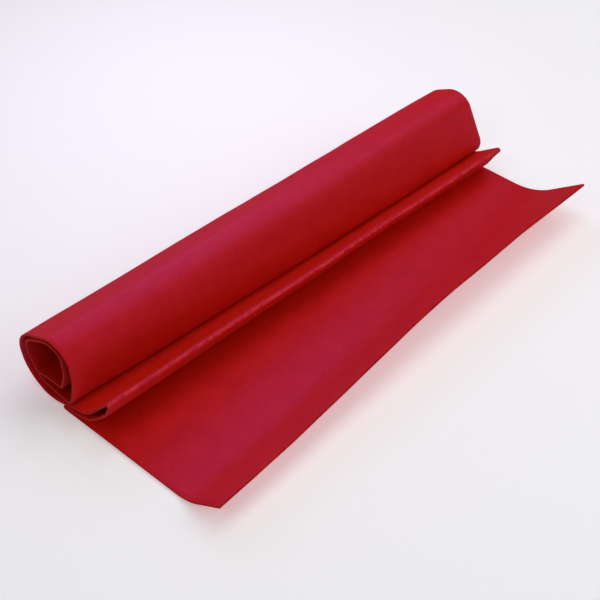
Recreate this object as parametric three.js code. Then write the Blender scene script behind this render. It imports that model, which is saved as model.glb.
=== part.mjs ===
// A loosely wound roll of craft felt, one cut sheet about two turns deep, lying on its own loose end.
// Millimetres, +Z up. The roll runs along X, its near end at -X, and the loose end lies towards -Y.
import * as THREE from 'three';

// Driving dimensions of the cut sheet
const SHEET_WIDTH = 500; // along the roll
const SHEET_LENGTH = 750; // wound up, from the free edge to the inner end
const THICKNESS = 2;
const CAMBER = 0.15; // how far the roll arches off the table halfway along

// How finely the sheet is divided
const STATIONS = 13; // sections along the roll, both ends included
const STRAIGHT_STEP = 30; // longest flat facet across the roll

// The section of the sheet's middle line, as the corners that its bends round off, from the loose end
// to the inner end, at the near and at the far end of the roll: "Out" is the distance from the near
// end's axis towards the loose end, "Up" the height above the table and "Round" the bend's radius.
// "bulge" is how much farther out the corner lies halfway along, and "steps" divides the bend. The last
// row only aims the inner end, which stops where the sheet does.
const COLUMNS = ['bend', 'nearOut', 'nearUp', 'nearRound', 'farOut', 'farUp', 'farRound', 'bulge', 'steps'];
const BENDS = [
  ['curl of the loose end', 159, 1, 46, 142.5, 1, 70, 0, 4],
  ['bow of the loose end', 75, 1.4, 400, 64, 1.4, 400, 0, 1],
  ['fold under the roll, lower', 13, 1, 1.25, 3, 1, 1.25, 1, 4],
  ['fold under the roll, upper', 13, 3.7, 1.25, 3, 3.7, 1.25, 1, 4],
  ['foot of the pleat', 44, 8, 36, 82.5, 5.5, 8, 0, 5],
  ['front of the pleat', 70, 34, 20, 91.5, 22, 20, 0, 3],
  ['ridge of the pleat', 76.5, 54, 1.5, 101.5, 37, 1.5, 0, 8],
  ['back of the pleat', 44, 16, 35, 71, 15.5, 30, 0, 4],
  ['roll, bottom right', 4, 4.6, 30, 50, 9.4, 20, -8, 3],
  ['roll, bottom left', -10, 4.2, 20, 27, 9.4, 20, 0, 4],
  ['roll, lower left', -31, 17.5, 35, 9, 22, 35, 0, 4],
  ['roll, upper left', -38.5, 57.5, 27, 0, 57.5, 25, 0, 7],
  ['roll, top left', 5, 77.5, 15, 35, 75, 20, 0, 4],
  ['roll, top right', 29.5, 73.5, 20, 52, 74.5, 18, 0, 7],
  ['roll, right', 30.5, 42, 60, 74.5, 29, 14, 2.5, 4],
  ['roll, lower right', 23, 12.6, 7, 69.5, 16.9, 6, 2.5, 6],
  ['inside, lower left', -15, 19, 18, 27, 23.5, 18, 0, 5],
  ['inside, upper left', -31, 55, 15, 10, 55, 15, 0, 7],
  ['inside, top left', 2, 72, 15, 38, 70, 15, 0, 4],
  ['inside, top right', 19, 70, 12, 49.5, 69.5, 12, 0, 6],
  ['inside, right', 20.5, 46, 30, 67, 34, 10, 2, 4],
  ['inside, lower right', 14, 27, 3.5, 62, 26, 3.5, 2, 5],
  ['inner end', -8, 26.2, 0, 40, 30.5, 0, 0, 0],
].map((row) => Object.fromEntries(COLUMNS.map((column, i) => [column, row[i]])));

// The free edge, which curls up off the table, at even steps from the near to the far end
const EDGE_COLUMNS = ['out', 'up'];
const FREE_EDGE = [
  [196, 25],
  [194.5, 30],
  [192, 39.5],
  [192.5, 42.5],
  [195, 40],
].map((row) => Object.fromEntries(EDGE_COLUMNS.map((column, i) => [column, row[i]])));
const freeEdge = new THREE.SplineCurve(FREE_EDGE.map((row) => new THREE.Vector2(row.out, row.up)));

// The corners of the section at a share of the way from the near end to the far end
function cornersAt(share) {
  const between = (near, far) => near + (far - near) * share;
  const halfway = Math.sin(Math.PI * share);
  const bends = BENDS.map((bend) => ({
    point: new THREE.Vector2(
      between(bend.nearOut, bend.farOut) + bend.bulge * halfway,
      between(bend.nearUp, bend.farUp),
    ),
    radius: between(bend.nearRound, bend.farRound),
    steps: bend.steps,
  }));
  return [{ point: freeEdge.getPoint(share) }, ...bends];
}

// The rounded bend at one corner: where it starts and ends, and the points in between
function roundedBend(before, corner, after) {
  const inward = corner.point.clone().sub(before.point).normalize();
  const onward = after.point.clone().sub(corner.point).normalize();
  const turn = Math.atan2(inward.cross(onward), inward.dot(onward));
  const reach = corner.radius * Math.tan(Math.abs(turn) / 2);
  const start = corner.point.clone().addScaledVector(inward, -reach);
  const side = new THREE.Vector2(-inward.y, inward.x).multiplyScalar(Math.sign(turn));
  const centre = start.clone().addScaledVector(side, corner.radius);
  const points = [];
  for (let i = 0; i <= corner.steps; i++) {
    const angle = (turn * i) / corner.steps;
    points.push({
      point: start.clone().rotateAround(centre, angle),
      heading: inward.clone().rotateAround(new THREE.Vector2(), angle),
    });
  }
  return { points, onward, length: Math.abs(turn) * corner.radius };
}

// The section at one share of the way, as straight runs with the bend that ends each of them. The
// inner end takes up what is left of the sheet's length, so every section is equally long.
function sectionAt(share) {
  const corners = cornersAt(share);
  const runs = [];
  let from = corners[0].point;
  let heading = corners[1].point.clone().sub(from).normalize();
  let left = SHEET_LENGTH;
  for (let i = 1; i < corners.length - 1; i++) {
    const bend = roundedBend(corners[i - 1], corners[i], corners[i + 1]);
    const to = bend.points[0].point;
    runs.push({ from, to, heading, bend: bend.points.slice(1) });
    left -= from.distanceTo(to) + bend.length;
    from = bend.points.at(-1).point;
    heading = bend.onward;
  }
  runs.push({ from, to: from.clone().addScaledVector(heading, left), heading, bend: [] });
  return runs;
}

// How many facets divide each straight run, the same at every station
const MIDDLE = 0.5;
const FACETS = sectionAt(MIDDLE).map(({ from, to }) => Math.ceil(from.distanceTo(to) / STRAIGHT_STEP));

// The points of the middle line at one share of the way, with the sheet's heading at each
function middleLine(share) {
  const runs = sectionAt(share);
  const line = [{ point: runs[0].from, heading: runs[0].heading }];
  runs.forEach(({ from, to, heading, bend }, r) => {
    for (let i = 1; i <= FACETS[r]; i++) {
      line.push({ point: from.clone().lerp(to, i / FACETS[r]), heading });
    }
    line.push(...bend);
  });
  return line;
}

// The closed solid of the sheet: both faces, its two cut ends and its two cut sides
function feltSolid() {
  const positions = [];
  const half = THICKNESS / 2;
  let across = 0;
  for (let station = 0; station < STATIONS; station++) {
    const share = station / (STATIONS - 1);
    const line = middleLine(share);
    const lift = CAMBER * Math.sin(Math.PI * share);
    across = line.length;
    for (const side of [half, -half]) {
      for (const { point, heading } of line) {
        const out = point.x - heading.y * side;
        const up = point.y + heading.x * side + lift;
        positions.push(share * SHEET_WIDTH, -out, up);
      }
    }
  }
  const vertex = (station, side, i) => (station * 2 + side) * across + i;
  const indices = [];
  const quad = (a, b, c, d) => indices.push(a, b, c, a, c, d);
  for (let s = 0; s + 1 < STATIONS; s++) {
    for (let i = 0; i + 1 < across; i++) {
      quad(vertex(s, 0, i), vertex(s, 0, i + 1), vertex(s + 1, 0, i + 1), vertex(s + 1, 0, i));
      quad(vertex(s, 1, i), vertex(s + 1, 1, i), vertex(s + 1, 1, i + 1), vertex(s, 1, i + 1));
    }
    const end = across - 1;
    quad(vertex(s, 0, 0), vertex(s + 1, 0, 0), vertex(s + 1, 1, 0), vertex(s, 1, 0));
    quad(vertex(s, 0, end), vertex(s, 1, end), vertex(s + 1, 1, end), vertex(s + 1, 0, end));
  }
  const last = STATIONS - 1;
  for (let i = 0; i + 1 < across; i++) {
    quad(vertex(0, 0, i), vertex(0, 1, i), vertex(0, 1, i + 1), vertex(0, 0, i + 1));
    quad(vertex(last, 0, i), vertex(last, 0, i + 1), vertex(last, 1, i + 1), vertex(last, 1, i));
  }
  const solid = new THREE.BufferGeometry();
  solid.setAttribute('position', new THREE.Float32BufferAttribute(positions, 3));
  solid.setIndex(indices);
  return solid;
}

// The origin is the middle of the roll's box, on the table
function centreOnTable(solid) {
  solid.computeBoundingBox();
  const box = solid.boundingBox;
  const centre = box.getCenter(new THREE.Vector3());
  solid.translate(-centre.x, -centre.y, -box.min.z);
  solid.computeVertexNormals();
  return solid;
}

const redFelt = new THREE.MeshStandardMaterial({ color: 0xa0191a, roughness: 0.95, metalness: 0 });

const felt = new THREE.Mesh(centreOnTable(feltSolid()), redFelt);
felt.name = 'felt';

const rollOfFelt = new THREE.Group();
rollOfFelt.add(felt);
export default rollOfFelt;
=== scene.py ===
"""A loosely wound roll of red craft felt lying on its own loose end, in a plain pale studio."""

import math

import bmesh
import bpy
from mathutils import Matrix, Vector, noise


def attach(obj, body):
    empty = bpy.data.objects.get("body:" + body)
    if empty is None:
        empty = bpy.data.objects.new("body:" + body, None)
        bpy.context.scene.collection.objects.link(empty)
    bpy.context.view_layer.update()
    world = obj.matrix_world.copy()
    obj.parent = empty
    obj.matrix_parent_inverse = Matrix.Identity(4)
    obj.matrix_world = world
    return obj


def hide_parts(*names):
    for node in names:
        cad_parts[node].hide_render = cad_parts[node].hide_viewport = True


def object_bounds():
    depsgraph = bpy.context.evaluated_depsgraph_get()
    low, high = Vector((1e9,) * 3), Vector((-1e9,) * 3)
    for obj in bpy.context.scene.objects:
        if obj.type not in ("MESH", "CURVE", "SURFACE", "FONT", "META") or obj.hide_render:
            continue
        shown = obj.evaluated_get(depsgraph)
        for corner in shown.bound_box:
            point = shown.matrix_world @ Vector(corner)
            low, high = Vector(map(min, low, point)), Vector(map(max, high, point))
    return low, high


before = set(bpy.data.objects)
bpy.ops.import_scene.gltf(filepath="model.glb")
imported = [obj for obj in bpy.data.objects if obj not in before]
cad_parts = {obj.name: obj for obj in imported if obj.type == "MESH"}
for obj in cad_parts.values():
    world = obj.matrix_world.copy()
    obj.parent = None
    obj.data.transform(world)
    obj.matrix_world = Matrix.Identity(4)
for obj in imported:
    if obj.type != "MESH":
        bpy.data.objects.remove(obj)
cad_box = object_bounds()

MM = 0.001

# The cut sheet, in millimetres: its camber is how far the roll arches off the table halfway along
SHEET_WIDTH = 500
SHEET_LENGTH = 750
THICKNESS = 2
CAMBER = 0.15
EDGE_ROUNDING = 0.55
CUT_EDGE_ANGLE = math.radians(60)

# How finely the sheet is divided: sections along the roll, and in each section the longest step on a
# straight run, the longest step round a bend and the sharpest turn of one step
STATIONS = 110
STRAIGHT_STEP = 6
BEND_STEP = 2.2
SHARPEST_TURN = math.radians(13)

# The section of the sheet's middle line, in millimetres, as the corners that its bends round off,
# from the loose end to the inner end, at the near and at the far end of the roll: "out" is the distance
# from the near end's axis towards the loose end, "up" the height above the table and "round" the
# bend's radius. "bulge" is how much farther out the corner lies halfway along. The last row only aims
# the inner end, which stops where the sheet does.
COLUMNS = ("bend", "near_out", "near_up", "near_round", "far_out", "far_up", "far_round", "bulge")
BENDS = (
    ("curl of the loose end", 159, 1, 46, 142.5, 1, 70, 0),
    ("bow of the loose end", 75, 1.4, 400, 64, 1.4, 400, 0),
    ("fold under the roll, lower", 13, 1, 1.25, 3, 1, 1.25, 1),
    ("fold under the roll, upper", 13, 3.7, 1.25, 3, 3.7, 1.25, 1),
    ("foot of the pleat", 44, 8, 36, 82.5, 5.5, 8, 0),
    ("front of the pleat", 70, 34, 20, 91.5, 22, 20, 0),
    ("ridge of the pleat", 76.5, 54, 1.5, 101.5, 37, 1.5, 0),
    ("back of the pleat", 44, 16, 35, 71, 15.5, 30, 0),
    ("roll, bottom right", 4, 4.6, 30, 50, 9.4, 20, -8),
    ("roll, bottom left", -10, 4.2, 20, 27, 9.4, 20, 0),
    ("roll, lower left", -31, 17.5, 35, 9, 22, 35, 0),
    ("roll, upper left", -38.5, 57.5, 27, 0, 57.5, 25, 0),
    ("roll, top left", 5, 77.5, 15, 35, 75, 20, 0),
    ("roll, top right", 29.5, 73.5, 20, 52, 74.5, 18, 0),
    ("roll, right", 30.5, 42, 60, 74.5, 29, 14, 2.5),
    ("roll, lower right", 23, 12.6, 7, 69.5, 16.9, 6, 2.5),
    ("inside, lower left", -15, 19, 18, 27, 23.5, 18, 0),
    ("inside, upper left", -31, 55, 15, 10, 55, 15, 0),
    ("inside, top left", 2, 72, 15, 38, 70, 15, 0),
    ("inside, top right", 19, 70, 12, 49.5, 69.5, 12, 0),
    ("inside, right", 20.5, 46, 30, 67, 34, 10, 2),
    ("inside, lower right", 14, 27, 3.5, 62, 26, 3.5, 2),
    ("inner end", -8, 26.2, 0, 40, 30.5, 0, 0),
)

# The free edge's distance out and height at even steps from the near to the far end
FREE_EDGE = ((196, 25), (194.5, 30), (192, 39.5), (192.5, 42.5), (195, 40))

# The felt's slow unevenness: the size of its waves and how far they push the sheet, in millimetres,
# and the heights above the table between which it sets in
UNEVENNESS = ((110, 1.1), (31, 0.28))
UNEVENNESS_SEED = 5
LIES_FLAT_BELOW = 3
LOOSE_ABOVE = 22

# The felt's noises, each with the size of its lumps, in metres, and its detail
CLOUDS = (0.018, 2)
MOTTLING = (0.0042, 3)
TANGLE = (0.0026, 4)
NOISE_ROUGHNESS = 0.55

# The dye's tone: how much the clouds, the mottling and the fibres count in it, and which tones take the
# dark, the middle and the light dye
CLOUD_SHARE = 0.45
MOTTLING_SHARE = 0.4
FIBRE_SHARE = 0.15
DYE_TONES = (0.3, 0.48, 0.68)

# The felt's fibres and relief, and the bloom of its surface
FIBRE_FINENESS = 9
FIBRE_RELIEF = 0.35
RELIEF_STRENGTH = 0.6
BLOOM_ROUGHNESS = 0.55
BLOOM_TINT = (0.9, 0.2, 1)

# The bend whose crease carries a painted highlight, how many rows of the grid the painted highlight
# reaches to each side, the mottling from which it shows, how sharply it sets in and its colour
HIGHLIGHT_BEND = "ridge of the pleat"
HIGHLIGHT_REACH = 3
HIGHLIGHT_FROM = 0.4
HIGHLIGHT_SHARPNESS = 5
HIGHLIGHT_COLOUR = (0.9, 0.08, 0.06)

# The bend from which the sheet lies inside the roll, where it takes a darker, less glossy copy of the
# felt: painted shade for the roll's hollow
INNER_BEND = "roll, lower right"
INNER_SLOT = 2

# The studio's soft lamps: where each one stands, how wide it is, how bright it makes a white card that
# faces it at the roll, its colour, and whether the felt's bloom shows it
LAMPS = (
    ("overhead", (0, 0, 2), 1.4, 0.17, (1, 1, 1), False),
    ("right", (1.2, 0, 1.6), 1.4, 0.15, (1, 1, 1), True),
    ("front right", (1, -1.2, 1.24), 1.4, 0.26, (1, 1, 1), False),
    ("front", (-0.3, -1.7, 1), 1.4, 0.06, (1, 1, 1), False),
    ("left", (-0.75, -0.1, 0.9), 0.6, 0.1, (1, 1, 1), False),
    ("back", (0, 1.8, 0.9), 1.4, 0.09, (0.9, 0.76, 1), True),
    ("window", (0.17, 0.41, 0.45), 0.42, 0.23, (0.78, 0.62, 1), True),
)
LIT_PLACE = Vector((0, 0.03, 0.04))  # where the lamps point
ALL_ROUND = 0.01  # faint light from everywhere

# The white studio, in metres: its table, just under the felt, and the round wall behind it. The table's
# glow grows with the distance and makes up for the lamps farther out.
TABLE_REACH = 4
TABLE_GAP = 0.2 * MM
TABLE_SHADE = 0.95
GLOW_DISTANCES = (0.5, 1.8)
TABLE_GLOW = (0.3, 0.44)
WALL_RADIUS = 1.9
WALL_SHADE = 0
WALL_GLOW = 0.88

# The photograph's camera
CAMERA_PLACE = (-0.6593, -0.5656, 0.8219)
CAMERA_PITCH = math.radians(43.706)
CAMERA_YAW = math.radians(48.085)
CAMERA_LENS = 78.17
CAMERA_SENSOR = 36


def blended(low, high, share):
    """The value at a share of the way from low to high."""
    return low + (high - low) * share


def softened(share):
    """A share held between 0 and 1 that sets in and ends smoothly."""
    share = min(max(share, 0), 1)
    return share * share * (3 - 2 * share)


def free_edge_at(share):
    """The free edge's point in the section, on a smooth curve through its rows."""
    last = len(FREE_EDGE) - 1
    place = share * last
    row = min(int(place), last - 1)
    before, start, end, after = (
        Vector(FREE_EDGE[min(max(i, 0), last)]) for i in range(row - 1, row + 3)
    )
    t = place - row
    leaving = (end - before) / 2
    arriving = (after - start) / 2
    bow = (2 * start - 2 * end + leaving + arriving) * t**3
    sag = (3 * end - 3 * start - 2 * leaving - arriving) * t**2
    return bow + sag + leaving * t + start


def corners_at(share):
    """The section's corners at a share of the way along the roll, each with its bend's radius."""
    halfway = math.sin(math.pi * share)
    corners = [(free_edge_at(share), 0)]
    for row in BENDS:
        bend = dict(zip(COLUMNS, row))
        out = blended(bend["near_out"], bend["far_out"], share) + bend["bulge"] * halfway
        up = blended(bend["near_up"], bend["far_up"], share)
        corners.append((Vector((out, up)), blended(bend["near_round"], bend["far_round"], share)))
    return corners


def section_at(share):
    """The section as straight runs: each one's start, heading and length, and its end bend's turn and
    radius. The inner end takes up what is left of the sheet, so every section is equally long."""
    corners = corners_at(share)
    start = corners[0][0]
    left = SHEET_LENGTH
    runs = []
    for (before, _), (corner, radius), (after, _) in zip(corners, corners[1:], corners[2:]):
        heading = (corner - before).normalized()
        onward = (after - corner).normalized()
        turn = math.atan2(heading.cross(onward), heading.dot(onward))
        reach = radius * math.tan(abs(turn) / 2)
        length = (corner - start).dot(heading) - reach
        runs.append((start, heading, length, turn, radius))
        left -= length + abs(turn) * radius
        start = corner + onward * reach
    runs.append((start, onward, left, 0, 0))
    return runs


def divisions():
    """How many steps divide each straight run and each bend, from the finest need along the roll."""
    counts = []
    for runs in zip(*(section_at(share) for share in (0, 0.5, 1))):
        straight = max(length for _, _, length, _, _ in runs)
        turn = max(abs(turn) for _, _, _, turn, _ in runs)
        bend = max(abs(turn) * radius for _, _, _, turn, radius in runs)
        steps = max(math.ceil(bend / BEND_STEP), math.ceil(turn / SHARPEST_TURN))
        counts.append((math.ceil(straight / STRAIGHT_STEP), steps))
    return counts


def middle_line(share, counts):
    """The points of the sheet's middle line in one section, from the free edge to the inner end."""
    line = [free_edge_at(share)]
    for (start, heading, length, turn, radius), (straights, bends) in zip(section_at(share), counts):
        for step in range(1, straights + 1):
            line.append(start + heading * length * step / straights)
        end = start + heading * length
        centre = end + Vector((-heading.y, heading.x)) * math.copysign(radius, turn)
        spoke = end - centre
        for step in range(1, bends + 1):
            angle = turn * step / bends
            turned = (
                spoke.x * math.cos(angle) - spoke.y * math.sin(angle),
                spoke.x * math.sin(angle) + spoke.y * math.cos(angle),
            )
            line.append(centre + Vector(turned))
    return line


def row_along(name, counts):
    """The row of the grid that lies along the middle of a bend."""
    bend = [row[0] for row in BENDS].index(name)
    before = sum(straights + bends for straights, bends in counts[:bend])
    straights, bends = counts[bend]
    return before + straights + bends / 2


def uneven(point):
    """A point of the sheet, in millimetres, pushed about by the felt's slow unevenness."""
    loose = softened((point.z - LIES_FLAT_BELOW) / (LOOSE_ABOVE - LIES_FLAT_BELOW))
    moved = point.copy()
    for size, depth in UNEVENNESS:
        push = noise.noise_vector(point / size) * depth
        moved += Vector((0, push.y, push.z)) * loose
    return moved


def rolled_sheet():
    """The cut sheet as a grid, rolled up: its columns are sections, and its rows run along the roll."""
    noise.seed_set(UNEVENNESS_SEED)
    counts = divisions()
    across = sum(straights + bends for straights, bends in counts)
    lines = [middle_line(i / STATIONS, counts) for i in range(STATIONS + 1)]
    # The back of the roll stands where the solid's does
    back = min(point.x for line in lines for point in line) - THICKNESS / 2
    axis = cad_box[1].y / MM + back
    bm = bmesh.new()
    bmesh.ops.create_grid(bm, x_segments=STATIONS, y_segments=across, size=0.5)
    # Faces inside the roll take the darker copy of the felt, painted shade
    inner = row_along(INNER_BEND, counts)
    for face in bm.faces:
        row = (face.calc_center_median().y + 0.5) * across
        face.material_index = INNER_SLOT if row > inner else 0
        face.smooth = True
    # How strongly the painted highlight along the pleat's ridge shows at each point
    ridge_highlight = bm.verts.layers.float.new("ridge_highlight")
    crease = row_along(HIGHLIGHT_BEND, counts)
    for vertex in bm.verts:
        station = round((vertex.co.x + 0.5) * STATIONS)
        row = round((vertex.co.y + 0.5) * across)
        point = lines[station][row]
        share = station / STATIONS
        lift = CAMBER * math.sin(math.pi * share)
        x = SHEET_WIDTH * (share - 0.5)
        vertex.co = uneven(Vector((x, axis - point.x, point.y + lift))) * MM
        vertex[ridge_highlight] = softened(1 - abs(row - crease) / HIGHLIGHT_REACH)
    bmesh.ops.recalc_face_normals(bm, faces=bm.faces)
    return bm


def new_piece(name, bm, finishes):
    """An object of a finished mesh, with its finishes in their slots."""
    mesh = bpy.data.meshes.new(name)
    bm.to_mesh(mesh)
    bm.free()
    for finish in finishes:
        mesh.materials.append(finish)
    piece = bpy.data.objects.new(name, mesh)
    bpy.context.scene.collection.objects.link(piece)
    return piece


def felt_piece(face_finish, shaded_inner_finish, cut_finish):
    """The rolled sheet with its thickness and its softly rounded cut edges."""
    # A cut edge takes the slot after its face's
    finishes = (face_finish, cut_finish, shaded_inner_finish, cut_finish)
    piece = new_piece("rolled_felt", rolled_sheet(), finishes)
    wall = piece.modifiers.new("thickness", "SOLIDIFY")
    wall.thickness = THICKNESS * MM
    wall.offset = 0
    wall.use_even_offset = True
    wall.use_quality_normals = True
    wall.material_offset_rim = 1
    rounding = piece.modifiers.new("rounded cut edges", "BEVEL")
    rounding.width = EDGE_ROUNDING * MM
    rounding.segments = 2
    rounding.profile = 0.5
    rounding.limit_method = "ANGLE"
    rounding.angle_limit = CUT_EDGE_ANGLE
    rounding.material = -1
    return piece


def noise_at(tree, place, name, size, detail):
    """A noise whose lumps are about the given size, in metres."""
    made = tree.nodes.new("ShaderNodeTexNoise")
    made.name = name
    made.inputs["Scale"].default_value = 1 / size
    made.inputs["Detail"].default_value = detail
    made.inputs["Roughness"].default_value = NOISE_ROUGHNESS
    tree.links.new(place.outputs["Object"], made.inputs["Vector"])
    return made.outputs["Fac"]


def reckoned(tree, operation, first, second):
    """A Math node on two values, each a number or another node's output."""
    made = tree.nodes.new("ShaderNodeMath")
    made.operation = operation
    for socket, value in zip(made.inputs, (first, second)):
        if isinstance(value, (int, float)):
            socket.default_value = value
        else:
            tree.links.new(value, socket)
    return made.outputs[0]


def felt_finish(name, shades, bloom, relief):
    """Pressed felt: cloudy dye, finer mottling and a tangle of thin fibres, matte with a soft bloom."""
    material = bpy.data.materials.new(name)
    material.use_nodes = True
    tree = material.node_tree
    shader = tree.nodes["Principled BSDF"]
    place = tree.nodes.new("ShaderNodeTexCoord")
    clouds = noise_at(tree, place, "clouds", *CLOUDS)
    mottling = noise_at(tree, place, "mottling", *MOTTLING)
    tangle = noise_at(tree, place, "tangle", *TANGLE)

    # Fibres lie along the tangle's middle contour, as thin bright lines
    away = reckoned(tree, "ABSOLUTE", reckoned(tree, "SUBTRACT", tangle, 0.5), 0)
    fibres = reckoned(tree, "SUBTRACT", 1, reckoned(tree, "MULTIPLY", away, FIBRE_FINENESS))
    fibres = reckoned(tree, "MAXIMUM", fibres, 0)

    tone = reckoned(tree, "MULTIPLY", clouds, CLOUD_SHARE)
    tone = reckoned(tree, "ADD", tone, reckoned(tree, "MULTIPLY", mottling, MOTTLING_SHARE))
    tone = reckoned(tree, "ADD", tone, reckoned(tree, "MULTIPLY", fibres, FIBRE_SHARE))
    dye = tree.nodes.new("ShaderNodeValToRGB")
    dye.name = "dye"
    stops = dye.color_ramp.elements
    stops.new(1)
    for stop, position, shade in zip(stops, DYE_TONES, shades):
        stop.position = position
        stop.color = (*shade, 1)
    tree.links.new(tone, dye.inputs["Fac"])

    # A painted highlight, a paler colour, lies here and there along the crease of the pleat's ridge
    ridge_highlight = tree.nodes.new("ShaderNodeAttribute")
    ridge_highlight.attribute_name = "ridge_highlight"
    patches = reckoned(tree, "SUBTRACT", mottling, HIGHLIGHT_FROM)
    patches = reckoned(tree, "MULTIPLY", patches, HIGHLIGHT_SHARPNESS)
    patches = reckoned(tree, "MAXIMUM", patches, 0)
    highlight_mix = tree.nodes.new("ShaderNodeMix")
    highlight_mix.data_type = "RGBA"
    highlight_share = reckoned(tree, "MULTIPLY", ridge_highlight.outputs["Fac"], patches)
    tree.links.new(highlight_share, highlight_mix.inputs["Factor"])
    tree.links.new(dye.outputs["Color"], highlight_mix.inputs["A"])
    highlight_mix.inputs["B"].default_value = (*HIGHLIGHT_COLOUR, 1)
    tree.links.new(highlight_mix.outputs["Result"], shader.inputs["Base Color"])

    pile = reckoned(tree, "ADD", mottling, reckoned(tree, "MULTIPLY", fibres, FIBRE_RELIEF))
    bump = tree.nodes.new("ShaderNodeBump")
    bump.inputs["Strength"].default_value = RELIEF_STRENGTH
    bump.inputs["Distance"].default_value = relief
    tree.links.new(pile, bump.inputs["Height"])
    tree.links.new(bump.outputs["Normal"], shader.inputs["Normal"])

    shader.inputs["Diffuse Roughness"].default_value = 1
    shader.inputs["Roughness"].default_value = BLOOM_ROUGHNESS
    shader.inputs["Specular IOR Level"].default_value = bloom
    shader.inputs["Specular Tint"].default_value = (*BLOOM_TINT, 1)
    return material


def glowing_paint(name, shade):
    """A matte paint that also glows white, but counts as no lamp."""
    paint = bpy.data.materials.new(name)
    paint.use_nodes = True
    paint.cycles.emission_sampling = "NONE"
    shader = paint.node_tree.nodes["Principled BSDF"]
    shader.inputs["Base Color"].default_value = (shade, shade, shade, 1)
    shader.inputs["Roughness"].default_value = 1
    shader.inputs["Specular IOR Level"].default_value = 0
    shader.inputs["Emission Color"].default_value = (1, 1, 1, 1)
    return paint, shader.inputs["Emission Strength"]


def studio_floor():
    """The plain pale surface that the roll lies on."""
    bm = bmesh.new()
    bmesh.ops.create_grid(bm, x_segments=1, y_segments=1, size=TABLE_REACH)
    bmesh.ops.translate(bm, vec=(0, 0, -TABLE_GAP), verts=bm.verts)
    paint, strength = glowing_paint("white table", TABLE_SHADE)
    tree = paint.node_tree
    place = tree.nodes.new("ShaderNodeTexCoord")
    away = tree.nodes.new("ShaderNodeVectorMath")
    away.operation = "LENGTH"
    tree.links.new(place.outputs["Object"], away.inputs[0])
    glow = tree.nodes.new("ShaderNodeMapRange")
    glow.inputs["From Min"].default_value, glow.inputs["From Max"].default_value = GLOW_DISTANCES
    glow.inputs["To Min"].default_value, glow.inputs["To Max"].default_value = TABLE_GLOW
    tree.links.new(away.outputs["Value"], glow.inputs["Value"])
    tree.links.new(glow.outputs["Result"], strength)
    floor = new_piece("floor", bm, [paint])
    floor.visible_glossy = False
    return floor


def studio_wall():
    """The pale round wall behind everything, which lights nothing and shows to the camera alone."""
    bm = bmesh.new()
    bmesh.ops.create_uvsphere(bm, u_segments=64, v_segments=32, radius=WALL_RADIUS)
    bmesh.ops.reverse_faces(bm, faces=bm.faces)
    paint, strength = glowing_paint("white wall", WALL_SHADE)
    strength.default_value = WALL_GLOW
    wall = new_piece("wall", bm, [paint])
    wall.visible_diffuse = wall.visible_glossy = wall.visible_shadow = False


def soft_lamp(name, place, size, brightness, colour, blooms):
    """A soft lamp that stands at a place and shines on the roll."""
    reach = Vector(place) - LIT_PLACE
    lamp = bpy.data.lights.new(name, "AREA")
    lamp.shape = "DISK"
    lamp.size = size
    lamp.energy = brightness * (math.pi * reach.length) ** 2
    lamp.color = colour
    made = bpy.data.objects.new(name, lamp)
    made.location = place
    made.rotation_euler = reach.to_track_quat("Z", "Y").to_euler()
    made.visible_camera = False
    made.visible_glossy = blooms
    bpy.context.scene.collection.objects.link(made)


def studio():
    """Pale soft light all round, the lamps and the photograph's camera."""
    scene = bpy.context.scene
    scene.view_settings.view_transform = "Standard"
    scene.world = bpy.data.worlds.new("white studio")
    scene.world.use_nodes = True
    background = scene.world.node_tree.nodes["Background"]
    background.inputs["Color"].default_value = (1, 1, 1, 1)
    background.inputs["Strength"].default_value = ALL_ROUND
    for lamp in LAMPS:
        soft_lamp(*lamp)
    lens = bpy.data.cameras.new("camera")
    lens.lens = CAMERA_LENS
    lens.sensor_width = CAMERA_SENSOR
    camera = bpy.data.objects.new("camera", lens)
    camera.location = CAMERA_PLACE
    camera.rotation_euler = (math.pi / 2 - CAMERA_PITCH, 0, -CAMERA_YAW)
    scene.collection.objects.link(camera)
    scene.camera = camera


studio()
studio_wall()
floor = studio_floor()

# Each finish's dark, middle and light dye, how strongly it blooms and how deep its relief is
red_felt = felt_finish(
    "red felt",
    shades=((0.71, 0.011, 0.002), (0.77, 0.0145, 0.003), (0.82, 0.019, 0.005)),
    bloom=1,
    relief=0.3 * MM,
)
# Inside the roll the same felt is painted darker and given less bloom: painted shade in the roll's
# hollow
shaded_inner_felt = felt_finish(
    "darker red felt as painted shade in the roll",
    shades=((0.53, 0.008, 0.002), (0.58, 0.011, 0.003), (0.63, 0.015, 0.005)),
    bloom=0.3,
    relief=0.3 * MM,
)
cut_felt = felt_finish(
    "cut edge of red felt",
    shades=((0.54, 0.012, 0.006), (0.64, 0.02, 0.012), (0.72, 0.032, 0.02)),
    bloom=0.05,
    relief=0.5 * MM,
)

felt = felt_piece(red_felt, shaded_inner_felt, cut_felt)
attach(felt, "root")
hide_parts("felt")
